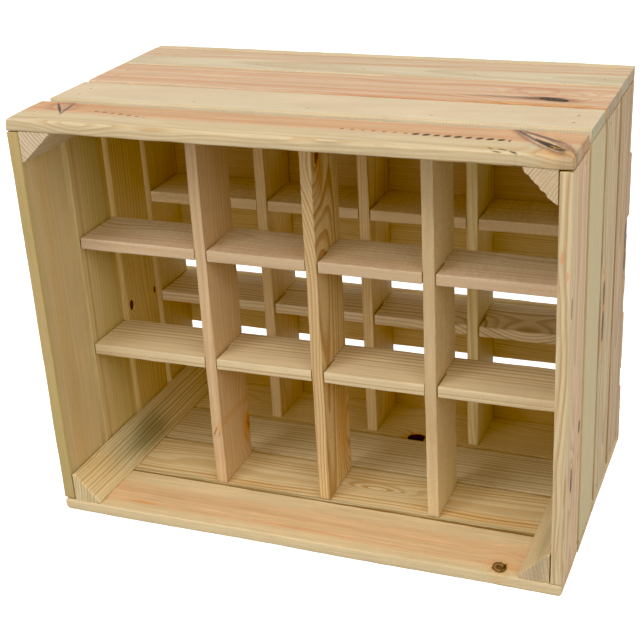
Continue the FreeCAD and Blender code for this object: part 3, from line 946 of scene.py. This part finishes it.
def nail_spots(group, axes, high_face):
    """Where the heads of a nail group stand on their face, as (first axis, second axis)."""
    low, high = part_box(group)
    first, second, through = (AXES[axis] for axis in axes)
    face = (high if high_face else low)[through]
    spots = []  # for each head, the sum of its top points and their number
    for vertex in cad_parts[group].data.vertices:
        if abs(vertex.co[through] - face) > TOP_POINT:
            continue
        here = np.array((vertex.co[first], vertex.co[second]))
        for spot in spots:
            if np.linalg.norm(spot[0] / spot[1] - here) < NAIL_REACH:
                spot[0] += here
                spot[1] += 1
                break
        else:
            spots.append([here, 1])
    return [total / number for total, number in spots]


def nails_on(node, spots, axes):
    """The nails of a face that stand in this board, in the board's own u and v."""
    low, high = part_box(node)
    first, second = AXES[axes[0]], AXES[axes[1]]
    return [
        (float(spot[0] - low[first]), float(spot[1] - low[second]))
        for spot in spots
        if low[first] < spot[0] < high[first] and low[second] < spot[1] < high[second]
    ]


def dress(obj, node, grain_axis):
    """Gives a piece its own wood, in a new material slot."""
    rng = random.Random(node + "_look")
    varied = {
        "pith": (rng.uniform(-20, 90), rng.choice((-1, 1)) * rng.uniform(25, 90)),
        "slope": (rng.uniform(-0.03, 0.03), rng.uniform(-0.05, 0.05)),
        "pitch": rng.uniform(2.2, 4.2),
        "contrast": rng.uniform(0.2, 0.45),
        "gain": rng.uniform(0.94, 1.03),
    }
    obj.data.materials.append(wood(node, grain_axis, {**varied, **LOOKS.get(node, {})}))


def build_walls():
    for wall, (axes, group, high_face, count) in WALLS.items():
        spots = nail_spots(group, axes, high_face)
        for number in range(1, count + 1):
            node = f"{wall}_board_{number}"
            nails = nails_on(node, spots, axes)
            obj = make_board(node, axes, nails=nails, nailed_high=high_face)
            dress(obj, node, axes[0])


def rise_at(shelf, place):
    """How much higher than in the plan a shelf stands at this X."""
    low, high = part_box(shelf)
    start, end = SHAPES.get(shelf, {}).get("rise", (0, 0))
    return (start + (end - start) * (place - low[0]) / (high[0] - low[0])) * MM


def build_grids():
    for grid in ("front", "rear"):
        uprights = [f"{grid}_upright_{number}" for number in (1, 2, 3)]
        shelves = [f"{grid}_shelf_{level}" for level in ("lower", "upper")]
        for node in shelves:
            low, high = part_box(node)
            half = (high[1] - low[1]) / 2 + SLOT_PLAY
            slots = []
            for upright in uprights:
                start, end = (corner[0] - low[0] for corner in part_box(upright))
                slots.append((start, end + SHELF_SLOT_SLACK, 0.0, half))
            dress(make_board(node, "xyz", slots=slots), node, "x")
        for node in uprights:
            low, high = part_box(node)
            width = high[1] - low[1]
            slots = []
            for shelf in shelves:
                bottom = low[2] - rise_at(shelf, (low[0] + high[0]) / 2)
                start, end = (corner[2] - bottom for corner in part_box(shelf))
                slots.append((start, end + UPRIGHT_SLOT_SLACK, width / 2 - SLOT_PLAY, width))
            dress(make_board(node, "zyx", slots=slots), node, "z")


# ---------------------------------------------------------------- corner strips

STRIP_TIP = 3 * MM  # the width of the cut at each tip of the cross-section
STRIP_ROUND = 0.6 * MM
STRIP_POINTS = 1.6 * MM  # from point to point of the cross-section
STRIP_GAP = 1.0 * MM  # left between a strip and the side wall
STRIP_GAPS = {"corner_strip_top_left": -2.0 * MM}  # this one follows its wall outward
STRIP_ROUGH = 0.2 * MM  # of its sloping face
STRIP_TORN = {"corner_strip_top_right": 0.9 * MM}
STRIP_EASE = 0.5 * MM  # at its ends
STRIP_SUNK = 0.3 * MM  # the sloping face, below the flat it is cut from
TIP_REACH = 2.2 * MM  # of a tip's ragged part
TIP_BITE = 0.6
SLOPE_BITE = 0.7
CAP_SHARES = (0.8, 0.6, 0.4, 0.2, 0.02)  # of the cross-section, for the rings that close an end


def strip_outline(leg, tip, radius):
    """The strip's cross-section: a right angle at 0, 0, tips cut flat and corners eased."""
    corners = np.array([(0, 0), (leg, 0), (leg, tip), (tip, leg), (0, leg)], float)
    points = []
    for index, here in enumerate(corners):
        before, after = corners[index - 1], corners[(index + 1) % len(corners)]
        to_before = (before - here) / np.linalg.norm(before - here)
        to_after = (after - here) / np.linalg.norm(after - here)
        for share in np.linspace(0, 1, 5):
            points.append(here + radius * ((1 - share) ** 2 * to_before + share**2 * to_after))
        gap = np.linalg.norm(after - here) - 2 * radius
        steps = max(1, round(gap / STRIP_POINTS))
        for share in np.arange(1, steps) / steps:
            points.append(here + to_after * (radius + share * gap))
    return np.array(points)


def strip_rings(node, outline, centre, leg, length, stations):
    """The cross-section at each station: ragged tips, a rough sloping face, ends eased."""
    rng = random.Random(node)
    ragged = [ripple(rng, 16 * MM, 0.35 * MM), ripple(rng, 5 * MM, 0.22 * MM)]
    other = [ripple(rng, 18 * MM, 0.35 * MM), ripple(rng, 5 * MM, 0.22 * MM)]
    hollow, saw = ripple(rng, 120 * MM, 0.5 * MM), ripple(rng, 7 * MM, 0.12 * MM)
    jag = ripple(rng, 8 * MM, 1.0)
    first = outline[:, 0] > outline[:, 1]
    slant, total = outline[:, 0] - outline[:, 1], outline.sum(axis=1)
    slope = np.clip((total - 0.9 * leg) / (0.2 * leg), 0, 1)
    tips = np.exp(-(((outline.max(axis=1) - leg) / TIP_REACH) ** 2)) * (total > 1.02 * leg)
    rough = STRIP_TORN.get(node, STRIP_ROUGH)
    rings = []
    for place in stations:
        low_bite, high_bite = (sum(wave(place) for wave in waves) for waves in (ragged, other))
        torn = rough * (1 + jag(slant + 0.05 * place))
        sunk = slope * (hollow(place) + saw(place) + STRIP_SUNK + torn)
        bite = tips * np.where(first, low_bite, high_bite)
        ring = outline - TIP_BITE * bite[:, None] - SLOPE_BITE * sunk[:, None]
        ease = STRIP_EASE - min(place, length - place, STRIP_EASE)
        rings.append(centre + (ring - centre) * (1 - ease / (0.5 * leg)))
    return rings


def strip_layer(ring, place):
    """A ring of (across, up) as points at one place along the strip."""
    return np.column_stack([ring, np.full(len(ring), place)])


def make_strip(node, side, level):
    """One triangular corner strip. side and level are the signs of the corner that it sits in."""
    low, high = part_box(node)
    leg, length = high[2] - low[2], high[1] - low[1]
    outline = strip_outline(leg, STRIP_TIP, STRIP_ROUND)
    centre = np.array((leg / 3, leg / 3))
    stations = grid_lines(length, (), ())
    rings = strip_rings(node, outline, centre, leg, length, stations)
    start, end = (
        [strip_layer(centre + (ring - centre) * share, place) for share in CAP_SHARES]
        for ring, place in ((rings[0], 0.0), (rings[-1], length))
    )
    middle = [strip_layer(ring, place) for ring, place in zip(rings, stations)]
    layers = start[::-1] + middle + end
    points = np.concatenate(layers)
    index = np.arange(len(points)).reshape(len(layers), -1)
    nxt = np.roll(index, -1, axis=1)
    faces = np.stack([index[:-1], nxt[:-1], nxt[1:], index[1:]], axis=-1).reshape(-1, 4)
    across, up, along = points.T
    inner_wall = high[0] if side > 0 else low[0]
    seat = high[2] if level > 0 else low[2]
    gap = STRIP_GAPS.get(node, STRIP_GAP)
    x = inner_wall - side * (gap + across * (1 - gap / leg))
    world = np.column_stack([x, low[1] + along, seat - level * up])
    if side * level > 0:
        faces = faces[:, ::-1]
    grain = np.column_stack([along, across, up])
    obj = make_mesh(node + "_wood", world, grain, faces, crease=38)
    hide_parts(node)
    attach(obj, "root")
    dress(obj, node, "y")


def build_strips():
    levels, sides = {"bottom": -1, "top": 1}, {"left": -1, "right": 1}
    for corner in ("bottom_left", "bottom_right", "top_right", "top_left"):
        level, side = corner.split("_")
        make_strip(f"corner_strip_{corner}", sides[side], levels[level])


# ---------------------------------------------------------------- nails


def dress_nails():
    tree = Tree("nail_steel")
    place = tree.nodes.new("ShaderNodeTexCoord")
    x, y, z = tree.split(Wire(tree, place.outputs["Object"]))
    rust = tree.noise((x * 700.0, y * 700.0, z * 700.0), detail=3)
    grime = tree.noise((x * 220.0, y * 220.0, z * 220.0), detail=2)
    colour = tree.mix(hue(188, 154, 100), hue(128, 92, 54), rust.step(-0.1, 0.7))
    roughness, height = grime * 0.12 + 0.5, rust * (0.04 * MM)
    material = tree.finish(colour, roughness, height, metallic=0.35, specular=0.5)
    for name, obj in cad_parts.items():
        if name.startswith("nails_"):
            obj.data.materials.clear()
            obj.data.materials.append(material)


# ---------------------------------------------------------------- stage, light and camera


FLOOR_REACH = 12.0
FLOOR_DEPTH = 0.5 * MM  # below the rack
FLOOR_GLOW = 0.8
LIGHT_DISTANCE = 2.5
LIGHT_TARGET = (0, 0, 0.2)
LIGHTS = (  # name, degrees to the right of the front, degrees up, size, watts
    ("key", -30, 45, 0.8, 15),
    ("front", 0, 28, 1.2, 6),
    ("over", 15, 66, 1.0, 9),
    ("fill", 50, 32, 1.2, 10),
    ("right", 82, 14, 1.0, 3),
    ("left", -80, 14, 1.2, 5),
)
SKY = {"From Min": -0.05, "From Max": 0.05, "To Min": 0.27, "To Max": 0.62}
BLACK_LEVEL = (0.015, 0.015, 0.025)
CAMERA_PLACE = (0.4293, -1.0755, 0.7017)
CAMERA_TARGET = (0.0078, 0, 0.1841)
CAMERA_ROLL = -2.69
CAMERA_LENS = 73.4
CAMERA_SHIFT = (-0.047, -0.016)


def build_stage():
    mesh = bpy.data.meshes.new("floor")
    reach = FLOOR_REACH
    corners = [(-reach, -reach, 0), (reach, -reach, 0), (reach, reach, 0), (-reach, reach, 0)]
    mesh.from_pydata(corners, [], [(0, 1, 2, 3)])
    floor = bpy.data.objects.new("floor", mesh)
    bpy.context.scene.collection.objects.link(floor)
    floor.location.z = -FLOOR_DEPTH
    floor.visible_diffuse = False  # the studio's dim lower half lights the rack from below instead
    floor.visible_shadow = False
    material = bpy.data.materials.new("floor_white")
    material.use_nodes = True
    shader = material.node_tree.nodes["Principled BSDF"]
    shader.inputs["Base Color"].default_value = (0.93, 0.93, 0.93, 1)
    shader.inputs["Roughness"].default_value = 0.9
    shader.inputs["Emission Color"].default_value = (1, 1, 1, 1)
    shader.inputs["Emission Strength"].default_value = FLOOR_GLOW
    mesh.materials.append(material)


def add_light(name, away, size, power):
    """A soft box in a direction from the rack, turned towards it."""
    light = bpy.data.lights.new(name, "AREA")
    light.shape = "RECTANGLE"
    light.size = light.size_y = size
    light.energy = power
    obj = bpy.data.objects.new(name, light)
    bpy.context.scene.collection.objects.link(obj)
    target = Vector(LIGHT_TARGET)
    obj.location = place = target + away * LIGHT_DISTANCE
    obj.rotation_mode = "QUATERNION"
    obj.rotation_quaternion = (target - place).to_track_quat("-Z", "Y")


def build_light():
    """A dim sky, dimmer still below the horizon, and soft boxes round the front."""
    world = bpy.data.worlds.new("studio")
    bpy.context.scene.world = world
    world.use_nodes = True
    nodes, links = world.node_tree.nodes, world.node_tree.links
    place, split = nodes.new("ShaderNodeTexCoord"), nodes.new("ShaderNodeSeparateXYZ")
    level = nodes.new("ShaderNodeMapRange")
    level.interpolation_type = "SMOOTHSTEP"
    for name, number in SKY.items():
        level.inputs[name].default_value = number
    links.new(place.outputs["Generated"], split.inputs[0])
    links.new(split.outputs["Z"], level.inputs["Value"])
    links.new(level.outputs[0], nodes["Background"].inputs["Strength"])
    nodes["Background"].inputs["Color"].default_value = (1, 1, 1, 1)
    for name, azimuth, elevation, size, power in LIGHTS:
        turn, rise = math.radians(azimuth), math.radians(elevation)
        flat = math.cos(rise)
        away = Vector((math.sin(turn) * flat, -math.cos(turn) * flat, math.sin(rise)))
        add_light(name, away, size, power)
    settings = bpy.context.scene.view_settings
    settings.view_transform = "Standard"
    settings.use_curve_mapping = True
    settings.curve_mapping.black_level = BLACK_LEVEL
    settings.curve_mapping.update()


def build_camera():
    camera = bpy.data.cameras.new("camera")
    camera.lens = CAMERA_LENS
    camera.sensor_width = 36
    camera.shift_x, camera.shift_y = CAMERA_SHIFT
    camera.clip_start = 0.05
    obj = bpy.data.objects.new("camera", camera)
    bpy.context.scene.collection.objects.link(obj)
    obj.location = place = Vector(CAMERA_PLACE)
    obj.rotation_mode = "QUATERNION"
    level = (Vector(CAMERA_TARGET) - place).to_track_quat("-Z", "Y")
    obj.rotation_quaternion = level @ Quaternion((0, 0, 1), math.radians(CAMERA_ROLL))
    bpy.context.scene.camera = obj


build_walls()
build_grids()
build_strips()
dress_nails()
build_stage()
build_light()
build_camera()
